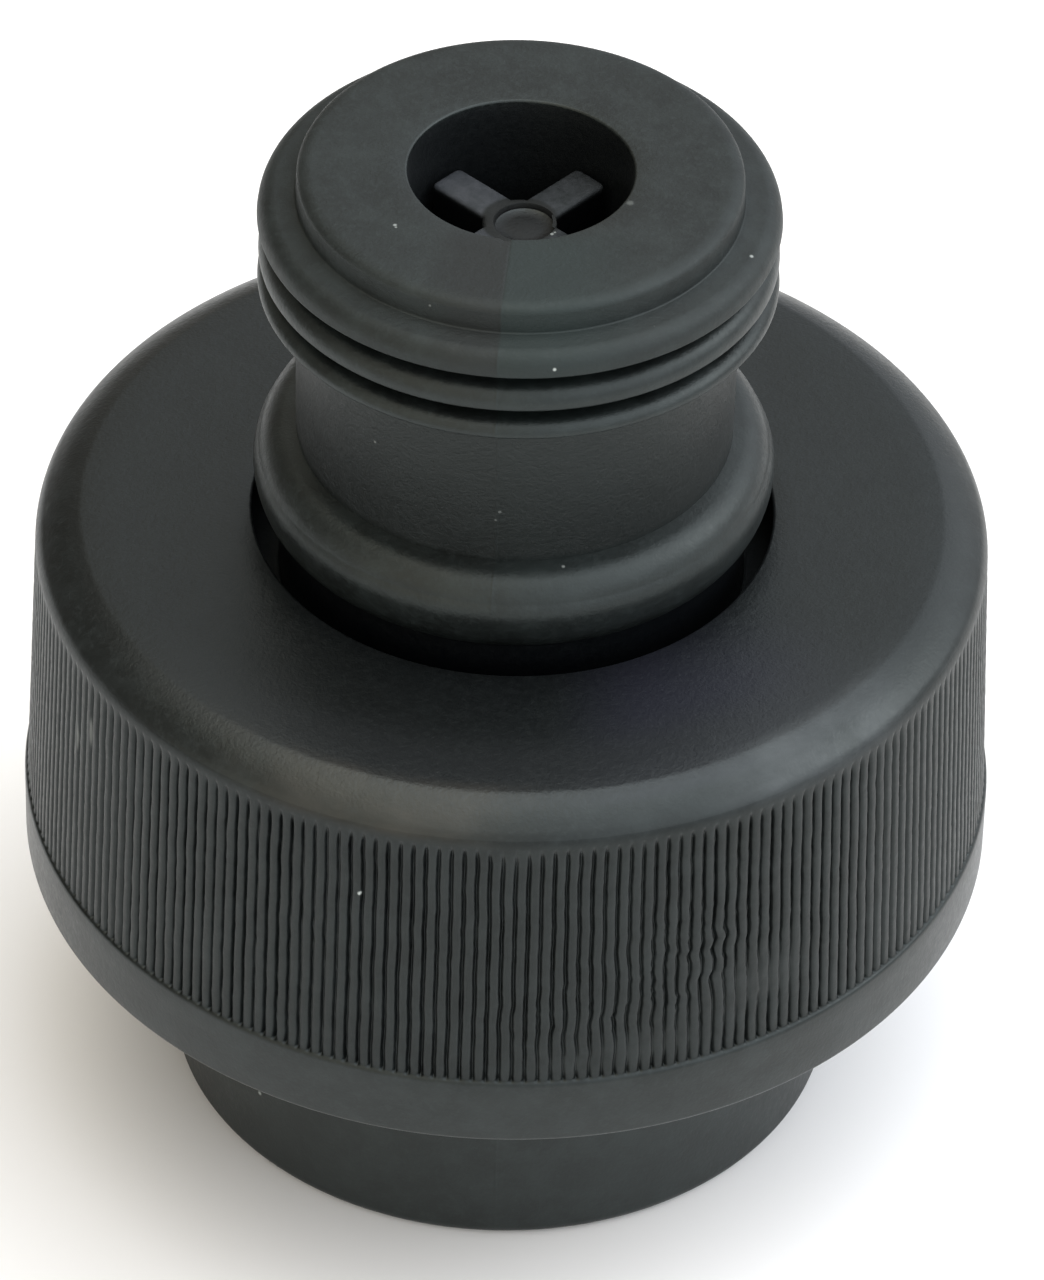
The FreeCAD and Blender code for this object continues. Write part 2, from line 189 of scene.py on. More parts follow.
def patch(a, z, a0, z0, wa, wz):
    """Soft blob on the unrolled wall: angle in radians, height in mm."""
    d = (a - a0 + math.pi) % TAU - math.pi
    return math.exp(-(d / wa) ** 2 - ((z - z0) / wz) ** 2)


def rib_shift(a, z):
    """Sideways wander of the ribs, in radians."""
    u = a / TAU * RIBS
    ring = Vector((math.sin(a) * 14.0, -math.cos(a) * 14.0, z))
    wob = 0.07 * noise.noise(ring * 0.55) + 0.045 * noise.noise(ring * 1.7)
    # uneven stretch right of the front, where the wall was rubbed
    here = patch(a, z, 0.40, 30.0, 0.15, 4.2) + 0.45 * patch(a, z, 0.14, 26.0, 0.14, 3.5)
    wob += here * (0.40 * noise.noise(ring * 0.62 + Vector((7.0, 0.0, 3.0))) + 0.24 * noise.noise(ring * 1.9 + Vector((3.0, 5.0, 0.0))))
    return wob * TAU / RIBS


def rib_depth(a, z, ph):
    """How far the wall is cut in at phase ph (0 in the valley, 0.5 on the crest), in mm."""
    k = int(a / TAU * RIBS + 0.5) % RIBS
    x = min(ph, 1.0 - ph)
    cut = 0.25 * max(0.0, 1.0 - x / 0.24) ** 1.25 + 0.10 * (1.0 - 2.0 * x) ** 2.2
    fade = smooth((40.35 - z) / 1.1)
    blur = 1.0 - 0.75 * patch(a, z, 0.55, 26.6, 0.10, 2.0) - 0.55 * patch(a, z, 0.32, 24.0, 0.12, 1.5) - 0.5 * patch(a, z, 0.14, 23.3, 0.12, 1.3)
    blur -= 0.7 * patch(a, z, 0.02, 39.9, 0.05, 1.0)
    blur -= 0.35 * smooth((abs((a + math.pi) % TAU - math.pi) - 0.65) / 0.5)
    ring = Vector((math.sin(a) * 16.0, -math.cos(a) * 16.0, z))
    blur *= 1.0 + 0.30 * noise.noise(ring * 1.3 + Vector((0.0, 0.0, 5.0)))
    low = 1.0 if z > RIB_FOOT + 0.01 else 0.0
    # tiny pimples on the crests
    rubbed = patch(a, z, 0.42, 26.0, 0.24, 3.2) + patch(a, z, 0.14, 23.6, 0.16, 1.8)
    lump = (0.018 + 0.035 * min(1.0, rubbed)) * noise.noise(ring * 3.1) * fade
    return (rib_gain[k] * cut * max(0.10, blur) * fade + lump) * low


def collar_mesh():
    n_out = RIBS * PER_RIB
    n_in = RIBS
    # outer strip, fine angles: from the top plate over the shoulder and ribs to the foot
    outer = []
    bends = ((28.0, 90.0, 86.0, 4), (1.5, 86.0, 73.0, 5), (6.3, 73.0, 51.0, 8), (1.4, 51.0, 1.5, 9))
    spread = sum(q[0] * (math.cos(math.radians(q[2])) - math.cos(math.radians(q[1]))) for q in bends)
    r0 = SHOULDER_R - spread
    outer.append((r0 - 0.7, TOP))
    outer.append((r0 - 0.3, TOP))
    outer.append((r0, TOP))
    pr, pz = r0, TOP
    for rad, t0, t1, k in bends:
        for j in range(1, k + 1):
            ta = math.radians(t0 + (t1 - t0) * (j - 1) / k)
            tb = math.radians(t0 + (t1 - t0) * j / k)
            pr += rad * (math.cos(tb) - math.cos(ta))
            pz -= rad * (math.sin(ta) - math.sin(tb))
            outer.append((pr, pz))
    z0 = pz
    rows = 52
    for j in range(1, rows):
        f = j / rows
        outer.append((SHOULDER_R + (RIB_FOOT_R - SHOULDER_R) * f, z0 + (RIB_FOOT + 0.12 - z0) * f))
    outer.append((RIB_FOOT_R, RIB_FOOT + 0.12))
    outer.append((RIB_FOOT_R, RIB_FOOT + 0.05))
    first_band = len(outer)
    outer += [(RIB_FOOT_R + 0.04, RIB_FOOT - 0.02), (BAND_R - 0.09, RIB_FOOT - 0.06), (BAND_R - 0.03, RIB_FOOT - 0.16), (BAND_R, RIB_FOOT - 0.32)]
    outer += [(BAND_R, 20.6), (BAND_R, 19.2), (BAND_R, FOOT + 0.36)]
    for j in range(1, 7):
        q = -math.pi / 2 * j / 6.0
        outer.append((BAND_R - 0.35 + 0.35 * math.cos(q), FOOT + 0.35 + 0.35 * math.sin(q)))
    outer.append((BAND_R - 0.9, FOOT))
    # inner strip, coarse angles: foot, thread lead, thread, flange bore, plate underside, hole, plate
    inner = [(28.6, FOOT), (27.6, FOOT), (27.4, FOOT + 0.06), (26.9, 17.75)]
    thread_first = len(inner)
    zz = 18.3
    while zz < 36.05:
        inner.append((26.2, zz))
        zz += 0.29
    thread_last = len(inner)
    inner += [(26.05, 36.25), (25.9, 36.5), (25.9, 38.2), (25.9, 39.4), (25.8, 39.75), (25.5, 39.95), (25.2, 40.0)]
    inner += [(23.0, 40.0), (20.0, 40.0), (17.4, 40.0), (17.0, 40.0), (16.7, 40.08), (HOLE + 0.45, 40.3), (HOLE + 0.35, 41.3), (HOLE, 42.2)]
    for j in range(7):
        q = math.pi - math.pi / 2 * j / 6.0
        inner.append((HOLE + 0.2 + 0.2 * math.cos(q), TOP - 0.2 + 0.2 * math.sin(q)))
    inner += [(17.6, TOP), (20.0, TOP), (21.8, TOP), (22.9, TOP)]
    mo, mi = len(outer), len(inner)
    verts, faces = [], []
    for j in range(n_out):
        ph = RIB_STEPS[j % PER_RIB]
        a = TAU * (j // PER_RIB + ph) / RIBS
        for i, (r, z) in enumerate(outer):
            rr, aa = r, a
            if 4 <= i < first_band:
                rr = r - rib_depth(a, z, ph)
                aa = a + rib_shift(a, z) * smooth((41.5 - z) / 2.0) * smooth((z - RIB_FOOT) / 0.8)
            verts.append((rr * math.sin(aa), -rr * math.cos(aa), z))
    base = len(verts)
    pitch = 4.0
    for j in range(n_in):
        a = TAU * j / n_in
        for i, (r, z) in enumerate(inner):
            rr = r
            if thread_first <= i < thread_last:
                turn = ((z - 17.6) / pitch - a / TAU) % 1.0
                # crest 0.25 of the pitch, load flank steeper than the other
                if turn < 0.14:
                    g = smooth(turn / 0.14)
                elif turn < 0.60:
                    g = 1.0
                elif turn < 0.82:
                    g = 1.0 - smooth((turn - 0.60) / 0.22)
                else:
                    g = 0.0
                ends = smooth((z - 18.4) / 1.6) * smooth((36.2 - z) / 1.0)
                rr = r + 1.15 * g * ends
            verts.append((rr * math.sin(a), -rr * math.cos(a), z))
    for j in range(n_out):
        k = (j + 1) % n_out
        for i in range(mo - 1):
            faces.append((j * mo + i, j * mo + i + 1, k * mo + i + 1, k * mo + i))
    for j in range(n_in):
        k = (j + 1) % n_in
        for i in range(mi - 1):
            faces.append((base + j * mi + i, base + j * mi + i + 1, base + k * mi + i + 1, base + k * mi + i))
    # flat joints between the fine and the coarse strip, under the foot and on the plate
    for j in range(n_in):
        k = (j + 1) % n_in
        for oi, ii in ((mo - 1, 0), (0, mi - 1)):
            fine = [((j * PER_RIB + s) % n_out) * mo + oi for s in range(PER_RIB + 1)]
            a0 = base + j * mi + ii
            a1 = base + k * mi + ii
            half = PER_RIB // 2
            for s in range(half):
                faces.append((fine[s], fine[s + 1], a0))
            faces.append((fine[half], a1, a0))
            for s in range(half, PER_RIB):
                faces.append((fine[s], fine[s + 1], a1))
    return finish_mesh("collar_shell", verts, faces, "collar", weighted=False)


collar = collar_mesh()
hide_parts("screw_collar")

# ------------------------------------------------------------------- nipple


def arc(cx, cz, rx, rz, a0, a1, n):
    """Points on an ellipse arc, angles in degrees, 0 pointing outwards and 90 up."""
    out = []
    for i in range(n + 1):
        t = math.radians(a0 + (a1 - a0) * i / n)
        out.append((cx + rx * math.cos(t), cz + rz * math.sin(t), 0.0))
    return out


nipple_loop = rounded([
    (6.81, 68.5, 0.16, 4)]
    + arc(12.50, 67.96, 0.95, 0.54, 90, 0, 9)
    + [(13.50, 66.66, 0.12, 3)]
    + arc(14.56, 65.36, 1.22, 1.20, 84, 3, 12)
    + [(15.84, 65.05, 0.14, 4),
    (14.3, 65.05, 0.1, 2),
    (14.3, 63.98, 0.1, 2)]
    + arc(14.50, 62.78, 1.22, 1.18, 86, 4, 12)
    + [(15.73, 62.53, 0.12, 4),
    (14.3, 62.53, 0.1, 2),
    (14.3, 61.50, 0.1, 2)]
    + arc(14.48, 60.66, 1.30, 0.85, 86, 3, 12)
    + [(15.79, 60.50, 0.12, 4),
    (13.5, 60.15, 0.5, 4)]
    + [(13.4, 49.6, 0.0), (13.4, 49.18, 0.0)]
    + arc(13.65, 46.95, 2.15, 2.15, 80, 20, 14)
    + [(15.685, 47.64, 0.0)]
    + arc(14.03, 46.49, 2.0, 2.0, 33, 4, 8)
    + arc(14.03, 46.49, 2.0, 3.0, 0, -74, 12)
    + [(14.4, 43.3, 0.2, 3),
    (14.4, 38.0, 0.3, 3),
    (18.0, 38.0, 0.3, 3),
    (18.0, 39.7, 0.2, 3),
    (25.6, 39.7, 0.4, 5),
    (25.6, 37.7, 0.4, 5),
    (19.2, 37.7, 0.1, 2),
    (19.2, 36.0, 0.1, 2),
    (18.0, 36.0, 0.1, 2),
    (18.0, 34.2, 0.1, 2),
    (19.2, 34.2, 0.1, 2),
    (19.2, 30.0, 0.25, 3),
    (16.8, 30.0, 0.25, 3),
    (16.8, 37.0, 0.3, 3),
    (12.2, 37.0, 0.3, 3),
    (12.2, 46.5, 0.2, 2),
    (11.4, 47.1, 0.2, 2),
    (11.4, 65.8, 0.4, 3),
    (9.0, 65.8, 0.4, 3),
    (9.0, 50.0, 0.3, 3),
    (6.5, 50.0, 0.3, 3),
    (6.52, 58.0, 1.0, 2),
    (6.80, 64.8, 1.0, 2),
])
nipple_loop = split_long(nipple_loop, 1.6)


SEAM = -0.072


def nipple_shape(r, z, a, i):
    """Mould seam down the front and the back: a hair-fine ridge on every outer surface."""
    outer = z > 44.0 and (r > 13.0 or z > 68.2)
    front = math.cos(a) > 0.0
    if outer and r < 15.95 and (front or z < 68.0):
        h = seam_offset(a, r, (SEAM, SEAM + math.pi))
        if z > 68.3 and r < 13.0:
            z -= 0.010 * h
        else:
            r += 0.018 * h
    # small mould nick at the mouth, left of the front
    if z > 67.0 and r < 7.4:
        d = (a + math.pi) % TAU - math.pi
        g = math.exp(-((d + 0.115) / 0.035) ** 2)
        r += 0.22 * g
    return r, z, a


nipple = lathe("nipple_shell", nipple_loop, "nipple", seam_angles(256, (SEAM, SEAM + math.pi)), nipple_shape, sharp=55)
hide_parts("nipple_body")

# --------------------------------------------------------------- insert tube
tube_loop = split_long(rounded([
    (19.3, 0.0, 0.5, 5),
    (21.1, 0.0, 0.8, 8),
    (21.1, 37.4, 0.2, 3),
    (19.3, 37.4, 0.2, 3),
]), 2.0)
tube = lathe("lower_tube", tube_loop, "nipple", seam_angles(256),
             lambda r, z, a, i: (r + (0.02 * seam_offset(a, r) if r > 20.5 and 1.0 < z < 37.0 else 0.0), z, a))
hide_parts("insert_tube")

# -------------------------------------------------------------------- gasket
gasket = lathe("neck_gasket_ring", rounded([
    (22.0, 36.1, 0.3, 4), (25.3, 36.1, 0.3, 4), (25.3, 37.65, 0.15, 2), (22.0, 37.65, 0.15, 2)]),
    "nipple", even_angles(192))
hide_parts("neck_gasket")

o_ring = lathe("tube_seal_ring", [(18.66 + 0.6 * math.cos(TAU * i / 16), 35.1 + 0.6 * math.sin(TAU * i / 16)) for i in range(16)],
               "nipple", even_angles(160))
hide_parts("tube_o_ring")

# -------------------------------------------------------------------- spring
spring_verts, spring_faces = [], []
turns = 14.6 / 2.9
steps = int(turns * 72)
side = 14
for s in range(steps + 1):
    t = s / steps
    a = TAU * turns * t
    c = Vector((5.9 * math.cos(a), 5.9 * math.sin(a), 31.05 + 14.6 * t))
    tan = Vector((-5.9 * math.sin(a), 5.9 * math.cos(a), 2.9 / TAU)).normalized()
    out = Vector((math.cos(a), math.sin(a), 0.0))
    up = tan.cross(out).normalized()
    for q in range(side):
        b = TAU * q / side
        p = c + 0.45 * (out * math.cos(b) + up * math.sin(b))
        spring_verts.append(tuple(p))
for s in range(steps):
    for q in range(side):
        w = (q + 1) % side
        spring_faces.append((s * side + q, s * side + w, (s + 1) * side + w, (s + 1) * side + q))
spring_faces.append(tuple(range(side)))
spring_faces.append(tuple(steps * side + q for q in range(side)))
spring = finish_mesh("coil_spring", spring_verts, spring_faces, "nipple", weighted=False, sharp=60)
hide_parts("return_spring")
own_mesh(spring)

# ------------------------------------------------------------------- plunger
lower_loop = rounded([
    (0.001, 26.0), (2.0, 26.0, 0.5, 5), (2.0, 44.7, 0.2, 2), (4.6, 44.7, 0.3, 3), (4.6, 46.2, 0.15, 2),
    (9.9, 46.2, 0.3, 3), (9.9, 48.3, 0.25, 3), (6.1, 48.3, 0.1, 2), (6.1, 49.95, 0.1, 2), (6.25, 49.95, 0.05, 2),
    (6.25, 51.4, 0.2, 3), (0.001, 51.4)])


def solid_lathe(name, loop, body, n):
    """Turned solid that reaches the axis: the first and the last loop points are poles."""
    verts = [(0.0, 0.0, loop[0][1])]
    ring = loop[1:-1]
    for j in range(n):
        a = TAU * j / n
        for r, z in ring:
            verts.append((r * math.sin(a), -r * math.cos(a), z))
    verts.append((0.0, 0.0, loop[-1][1]))
    m = len(ring)
    faces = []
    last = len(verts) - 1
    for j in range(n):
        k = (j + 1) % n
        faces.append((0, 1 + k * m, 1 + j * m))
        for i in range(m - 1):
            faces.append((1 + j * m + i, 1 + k * m + i, 1 + k * m + i + 1, 1 + j * m + i + 1))
        faces.append((1 + j * m + m - 1, 1 + k * m + m - 1, last))
    return finish_mesh(name, verts, faces, body)


def fin_mesh():
    """X-shaped guide with a round hub and a shallow dimple, edges softened."""
    half, reach, hub = 1.23, 6.3, 2.25
    z_low, z_top, soft = 51.2, 64.6, 0.26
    turn = math.radians(47.0)
    pts = []
    for q in range(4):
        base = turn + q * math.pi / 2
        ux, uy = math.cos(base), math.sin(base)
        vx, vy = -uy, ux
        start = math.asin(half / hub)
        # arm outline, tip corners softly rounded
        tip = []
        c = 0.42
        for s in range(4):
            t = math.pi / 2 * s / 3.0
            tip.append((reach - c + c * math.sin(t), -half + c - c * math.cos(t)))
        for s in range(4):
            t = math.pi / 2 * s / 3.0
            tip.append((reach - c + c * math.cos(t), half - c + c * math.sin(t)))
        arm = [(hub * math.cos(start), -half), (hub * math.cos(start) + 0.8, -half)] + tip + [(hub * math.cos(start) + 0.8, half), (hub * math.cos(start), half)]
        for x, y in arm:
            pts.append((x * ux + y * vx, x * uy + y * vy))
        a0 = base + start
        a1 = base + math.pi / 2 - start
        for s in range(1, 5):
            a = a0 + (a1 - a0) * s / 5.0
            pts.append((hub * math.cos(a), hub * math.sin(a)))
    n = len(pts)

    def inset(d):
        out = []
        for i in range(n):
            p0, p1, p2 = Vector(pts[i - 1]), Vector(pts[i]), Vector(pts[(i + 1) % n])
            e0 = (p1 - p0).normalized()
            e1 = (p2 - p1).normalized()
            n0 = Vector((-e0.y, e0.x))
            n1 = Vector((-e1.y, e1.x))
            b = n0 + n1
            b = b / max(0.35, b.dot(n0))
            out.append(p1 + b * d)
        return out

    bm = bmesh.new()
    rings = []
    levels = [(z_low, 0.0), (z_top - soft, 0.0), (z_top - soft * 0.55, soft * 0.12), (z_top - soft * 0.2, soft * 0.45), (z_top - 0.0, soft * 1.0)]
    for z, d in levels:
        ins = inset(d)
        rings.append([bm.verts.new((p.x, p.y, z)) for p in ins])
    for a, b in zip(rings[:-1], rings[1:]):
        for i in range(n):
            k = (i + 1) % n
            bm.faces.new((a[i], a[k], b[k], b[i]))
    bm.faces.new(list(reversed(rings[0])))
    # dimple: a ring cut in the top, its wall and its floor
    m = 40
    cx, cy = 0.30, -0.10
    dim = []
    for rad, z in ((1.90, z_top), (1.86, z_top - 0.06), (1.80, z_top - 0.36), (1.66, z_top - 0.43), (1.0, z_top - 0.40)):
        dim.append([bm.verts.new((cx + rad * math.cos(TAU * i / m), cy + rad * math.sin(TAU * i / m), z)) for i in range(m)])
    for a, b in zip(dim[:-1], dim[1:]):
        for i in range(m):
            k = (i + 1) % m
            bm.faces.new((a[i], a[k], b[k], b[i]))
    floor_mid = bm.verts.new((cx, cy, z_top - 0.38))
    for i in range(m):
        bm.faces.new((dim[-1][i], dim[-1][(i + 1) % m], floor_mid))
    edges = []
    for ring in (rings[-1], dim[0]):
        for i in range(len(ring)):
            e = bm.edges.get((ring[i], ring[(i + 1) % len(ring)]))
            edges.append(e)
    bmesh.ops.triangle_fill(bm, use_beauty=True, use_dissolve=False, edges=edges)
    bmesh.ops.recalc_face_normals(bm, faces=bm.faces)
    me = bpy.data.meshes.new("fins")
    for v in bm.verts:
        v.co = v.co * MM
    bm.to_mesh(me)
    bm.free()
    me.shade_smooth()
    ob = bpy.data.objects.new("fins", me)
    scene.collection.objects.link(ob)
    return ob


plunger = solid_lathe("valve_plunger_body", lower_loop, "plunger", 96)
fins = fin_mesh()
join = plunger.modifiers.new("join", "BOOLEAN")
join.operation = "UNION"
join.solver = "EXACT"
join.object = fins
bpy.context.view_layer.update()
plunger.modifiers.remove(plunger.modifiers["even_normals"])
deps = bpy.context.evaluated_depsgraph_get()
merged = bpy.data.meshes.new_from_object(plunger.evaluated_get(deps))
plunger.modifiers.clear()
plunger.data = merged
bpy.data.objects.remove(fins)
plunger.data.shade_smooth()
plunger.data.set_sharp_from_angle(angle=math.radians(38))
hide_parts("valve_plunger")

seal = lathe("poppet_seal_ring", rounded([
    (6.2, 48.35, 0.2, 3), (9.4, 48.35, 0.2, 3), (9.4, 49.9, 0.4, 5), (6.2, 49.9, 0.2, 3)]), "plunger", even_angles(128))
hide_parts("poppet_seal")

# ----------------------------------------------------------------- spring cage
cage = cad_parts["spring_cage"]

# ------------------------------------------------------------------ materials


class Nodes:
    """Small helper for node materials."""

    def __init__(self, name):
        self.mat = bpy.data.materials.new(name)
        self.mat.use_nodes = True
        self.nt = self.mat.node_tree
        self.nt.nodes.clear()
        self.out = self.nt.nodes.new("ShaderNodeOutputMaterial")
        self.bsdf = self.nt.nodes.new("ShaderNodeBsdfPrincipled")
        self.nt.links.new(self.bsdf.outputs[0], self.out.inputs[0])
        self.coord = self.nt.nodes.new("ShaderNodeTexCoord").outputs["Object"]

    def link(self, a, b):
        self.nt.links.new(a, b)
        return a

    def node(self, kind, **props):
        nd = self.nt.nodes.new(kind)
        for k, v in props.items():
            setattr(nd, k, v)
        return nd

    def noise(self, scale, detail=4.0, rough=0.5, distort=0.0, vec=None):
        nd = self.node("ShaderNodeTexNoise")
        nd.inputs["Scale"].default_value = scale
        nd.inputs["Detail"].default_value = detail
        nd.inputs["Roughness"].default_value = rough
        nd.inputs["Distortion"].default_value = distort
        self.link(self.coord if vec is None else vec, nd.inputs["Vector"])
        return nd.outputs["Fac"]

    def stretch(self, sx, sy, sz, rot=(0, 0, 0)):
        nd = self.node("ShaderNodeMapping")
        nd.inputs["Scale"].default_value = (sx, sy, sz)
        nd.inputs["Rotation"].default_value = rot
        self.link(self.coord, nd.inputs["Vector"])
        return nd.outputs[0]

    def ramp(self, fac, stops):
        nd = self.node("ShaderNodeValToRGB")
        el = nd.color_ramp.elements
        while len(el) < len(stops):
            el.new(0.5)
        for e, (p, c) in zip(el, stops):
            e.position = p
            e.color = (c, c, c, 1) if isinstance(c, (int, float)) else (*c, 1)
        self.link(fac, nd.inputs[0])
        return nd.outputs[0]

    def math(self, op, a, b=None, c=None, clamp=False):
        nd = self.node("ShaderNodeMath", operation=op, use_clamp=clamp)
        for i, x in enumerate((a, b, c)):
            if x is None:
                continue
            if isinstance(x, (int, float)):
                nd.inputs[i].default_value = x
            else:
                self.link(x, nd.inputs[i])
        return nd.outputs[0]

    def mix(self, fac, a, b, blend="MIX"):
        nd = self.node("ShaderNodeMix", data_type="RGBA", blend_type=blend)
        for sock, x in ((nd.inputs[0], fac), (nd.inputs[6], a), (nd.inputs[7], b)):
            if isinstance(x, (int, float)):
                sock.default_value = x
            elif isinstance(x, tuple):
                sock.default_value = (*x, 1)
            else:
                self.link(x, sock)
        return nd.outputs[2]

    def bump(self, height, strength, distance, normal=None):
        nd = self.node("ShaderNodeBump")
        nd.inputs["Strength"].default_value = strength
        nd.inputs["Distance"].default_value = distance
        self.link(height, nd.inputs["Height"])
        if normal is not None:
            self.link(normal, nd.inputs["Normal"])
        return nd.outputs[0]

    def spots(self, places, long_z=1.0):
        """Specks: each place is (x, y, z, radius, strength), lengths in mm, in the object's own frame."""
        total = None
        for x, y, z, rad, much in places:
            d = self.node("ShaderNodeVectorMath", operation="SUBTRACT")
            self.link(self.coord, d.inputs[0])
            d.inputs[1].default_value = (x * MM, y * MM, z * MM)
            q = self.node("ShaderNodeVectorMath", operation="MULTIPLY")
            self.link(d.outputs[0], q.inputs[0])
            q.inputs[1].default_value = (1.0, 1.0, 1.0 / long_z)
            d = self.node("ShaderNodeVectorMath", operation="LENGTH")
            self.link(q.outputs[0], d.inputs[0])
            m = self.node("ShaderNodeMapRange", interpolation_type="SMOOTHSTEP")
            m.inputs["From Min"].default_value = rad * MM
            m.inputs["From Max"].default_value = rad * 0.30 * MM
            m.inputs["To Max"].default_value = much
            self.link(d.outputs["Value"], m.inputs["Value"])
            v = m.outputs[0]
            total = v if total is None else self.math("MAXIMUM", total, v)
        return total


def mask(n, value, lo, hi):
    """0 below lo, 1 above hi (or the other way round when lo > hi)."""
    m = n.node("ShaderNodeMapRange", interpolation_type="SMOOTHSTEP")
    m.inputs["From Min"].default_value = lo
    m.inputs["From Max"].default_value = hi
    n.link(value, m.inputs["Value"])
    return m.outputs[0]


def position(n):
    sep = n.node("ShaderNodeSeparateXYZ")
    n.link(n.coord, sep.inputs[0])
    x, y, z = sep.outputs
    flat = n.math("SQRT", n.math("ADD", n.math("MULTIPLY", x, x), n.math("MULTIPLY", y, y)))
    return x, y, z, flat


def plastic(name, base, rough=0.5, grain=1.0, scuff=0.25, specks=(), streaks=(), spec=0.5, seed=0.0, local=None, flat_from=None, coarse=None):
    """Moulded charcoal plastic: satin skin, fine grain, cloudy tone, rubbed streaks, dust.

    local(n, col, rough) may change colour and roughness by place and returns both.
    """
    n = Nodes(name)
    b = n.bsdf
    b.inputs["Metallic"].default_value = 0.0
    b.inputs["IOR"].default_value = 1.49
    b.inputs["Specular IOR Level"].default_value = spec
    b.inputs["Specular Tint"].default_value = (0.895, 1.0, 0.985, 1)
    shifted = n.node("ShaderNodeVectorMath", operation="ADD")
    n.link(n.coord, shifted.inputs[0])
    shifted.inputs[1].default_value = (seed * 0.013, seed * 0.007, seed * 0.003)
    at = shifted.outputs[0]
    cloud = n.noise(70.0, 4.0, 0.6, 0.3, at)
    blot = n.noise(420.0, 4.0, 0.65, 0.2, at)
    fine = n.noise(2400.0, 3.0, 0.65, 0.0, at)
    pores = n.noise(5200.0, 1.0, 0.5, 0.0, at)
    dark = tuple(c * 0.45 for c in base)
    light = tuple(c * 2.3 for c in base)
    col = n.mix(n.ramp(cloud, [(0.36, 0.0), (0.64, 1.0)]), dark, base)
    col = n.mix(n.math("MULTIPLY", n.ramp(blot, [(0.42, 0.0), (0.66, 1.0)]), 0.75), col, light)
    col = n.mix(n.math("MULTIPLY", n.ramp(fine, [(0.50, 0.0), (0.72, 1.0)]), 0.55), col, tuple(c * 3.2 for c in base))
    # rubbed streaks along the axis and a few pale flecks
    rub = n.noise(300.0, 5.0, 0.72, 0.5, n.stretch(1.0, 1.0, 0.14))
    rubmask = n.math("MULTIPLY", n.ramp(rub, [(0.61, 0.0), (0.80, 1.0)]), scuff)
    if flat_from is not None:
        # walls only: the flat top above this height is not streaked
        height = n.node("ShaderNodeSeparateXYZ")
        n.link(n.coord, height.inputs[0])
        rubmask = n.math("MULTIPLY", rubmask, mask(n, height.outputs[2], flat_from, flat_from - 0.0006))
    col = n.mix(rubmask, col, (0.050, 0.054, 0.052))
    fleck = n.math("MULTIPLY", n.ramp(n.noise(1150.0, 3.0, 0.8, 0.0, at), [(0.745, 0.0), (0.80, 1.0)]), 0.30)
    col = n.mix(fleck, col, (0.22, 0.23, 0.22))
    r = n.math("ADD", n.math("MULTIPLY", cloud, 0.12), rough - 0.06)
    r = n.math("ADD", r, n.math("MULTIPLY", n.math("SUBTRACT", fine, 0.5), 0.25))
    r = n.math("ADD", r, n.math("MULTIPLY", rubmask, 0.12), clamp=True)
    if local is not None:
        col, r = local(n, col, r)
    if specks:
        col = n.mix(n.spots(specks), col, (0.50, 0.54, 0.52))
    if streaks:
        col = n.mix(n.spots(streaks, long_z=9.0), col, (0.20, 0.21, 0.20))
    n.link(col, b.inputs["Base Color"])
    n.link(r, b.inputs["Roughness"])
    height = n.math("ADD", n.math("MULTIPLY", fine, 0.65), n.math("MULTIPLY", pores, 0.35))
    if coarse is not None:
        # skin is grainier between two heights: low, high, gain
        place = n.node("ShaderNodeSeparateXYZ")
        n.link(n.coord, place.inputs[0])
        lo, hi, gain = coarse
        inside = n.math("MULTIPLY", mask(n, place.outputs[2], lo - 0.0005, lo), mask(n, place.outputs[2], hi + 0.0005, hi))
        height = n.math("MULTIPLY", height, n.math("ADD", n.math("MULTIPLY", inside, gain - 1.0), 1.0))
    nb = n.bump(height, 0.45, grain * 0.045 * MM)
    nb = n.bump(blot, 0.30, 0.055 * MM, nb)
    nb = n.bump(cloud, 0.30, 0.25 * MM, nb)
    n.link(nb, b.inputs["Normal"])
    return n.mat


